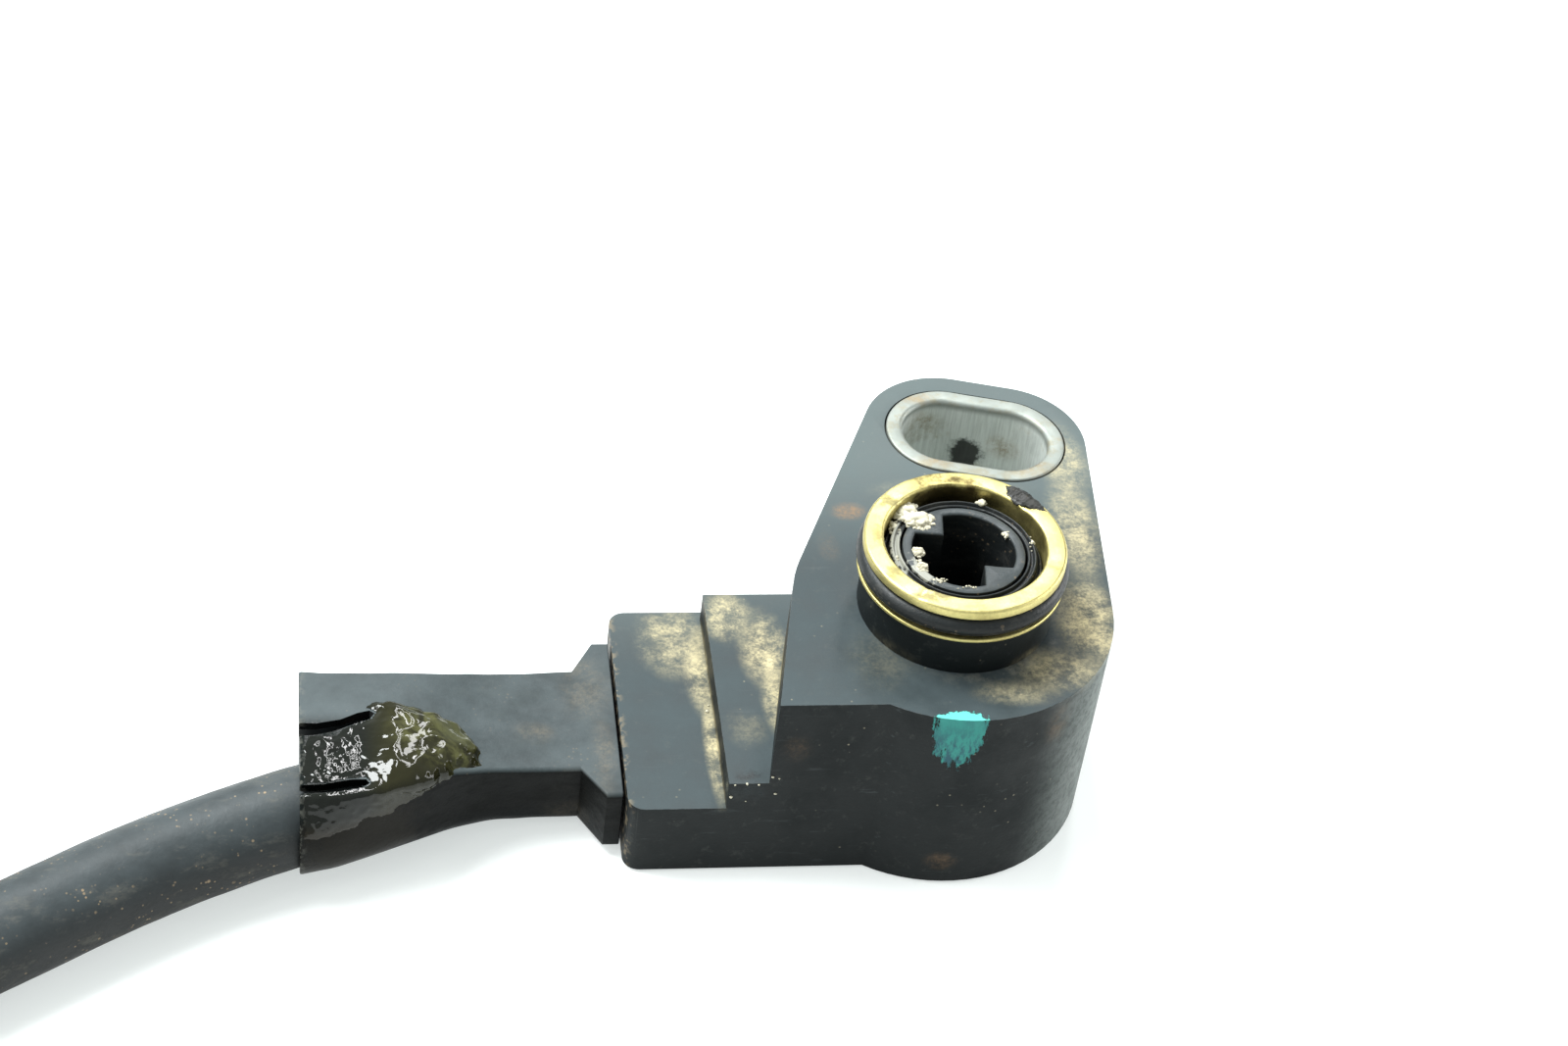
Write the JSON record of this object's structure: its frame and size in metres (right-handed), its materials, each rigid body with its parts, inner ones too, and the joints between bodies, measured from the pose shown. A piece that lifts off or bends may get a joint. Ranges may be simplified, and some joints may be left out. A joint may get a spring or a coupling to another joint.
{
  "type": "rotary position sensor",
  "caption": "Rotary position sensor with a brass-rimmed drive socket, a slotted ear with a metal bush, a sealed cable boot and a coiled lead that ends in a latched plug.",
  "frame": {"origin": "rotor axis, in the flat back face of the housing and cover", "axes": "+Z along the rotor axis out of the drive socket, -X towards the cable, +Y side carries the ear"},
  "size_m": [0.1452, 0.0959, 0.0192],
  "materials": {
    "housing_plastic": "satin",
    "bush_steel": "satin",
    "sleeve_brass": "satin",
    "seal_rubber": "matte",
    "rotor_plastic": "satin",
    "contact_brass": "bright",
    "substrate": "matte",
    "track_ink": "matte",
    "sealant": "glossy",
    "core_jacket": "matte",
    "boot_rubber": "satin",
    "cable_jacket": "satin",
    "tie_plastic": "satin",
    "plug_plastic": "satin",
    "retainer_plastic": "satin"
  },
  "bodies": {
    "sensor": {"housing": "housing_plastic", "back_cover": "housing_plastic", "mount_bush": "bush_steel", "spigot_sleeve": "sleeve_brass", "spigot_o_ring": "seal_rubber", "shaft_seal": "seal_rubber", "bearing_bush": "sleeve_brass", "thrust_washer": "bush_steel", "return_spring": "bush_steel", "element_plate": "substrate", "resistive_track": "track_ink", "collector_track": "track_ink", "entry_potting": "sealant", "terminal_1": "contact_brass", "terminal_2": "contact_brass", "terminal_3": "contact_brass", "core_1": "core_jacket", "core_2": "core_jacket", "core_3": "core_jacket", "cable_boot": "boot_rubber", "boot_sealant": "sealant", "jacket_end": "cable_jacket", "cable_lead": "cable_jacket", "cable_coil": "cable_jacket", "coil_tie": "tie_plastic", "cable_tail": "cable_jacket", "plug_housing": "plug_plastic", "plug_boot": "boot_rubber", "plug_retainer": "retainer_plastic", "plug_seal": "seal_rubber", "plug_terminal_1": "contact_brass", "plug_terminal_2": "contact_brass", "plug_terminal_3": "contact_brass"},
    "rotor": {"rotor": "rotor_plastic", "wiper_carrier": "rotor_plastic", "wiper_outer": "contact_brass", "wiper_inner": "contact_brass"},
    "plug_latch": {"plug_latch": "plug_plastic"}
  },
  "joints": [
    {"name": "rotor_turn", "type": "hinge", "parent": "sensor", "child": "rotor", "pos_m": [0, 0, 0.0139], "axis": [0, 0, 1], "range_deg": [0, 100], "stiffness_Nm_per_rad": 0.004},
    {"name": "latch_press", "type": "hinge", "parent": "sensor", "child": "plug_latch", "pos_m": [-0.1269, 0.049, 0.0131], "axis": [1, 0, 0], "range_deg": [0, 5], "stiffness_Nm_per_rad": 0.05}
  ]
}
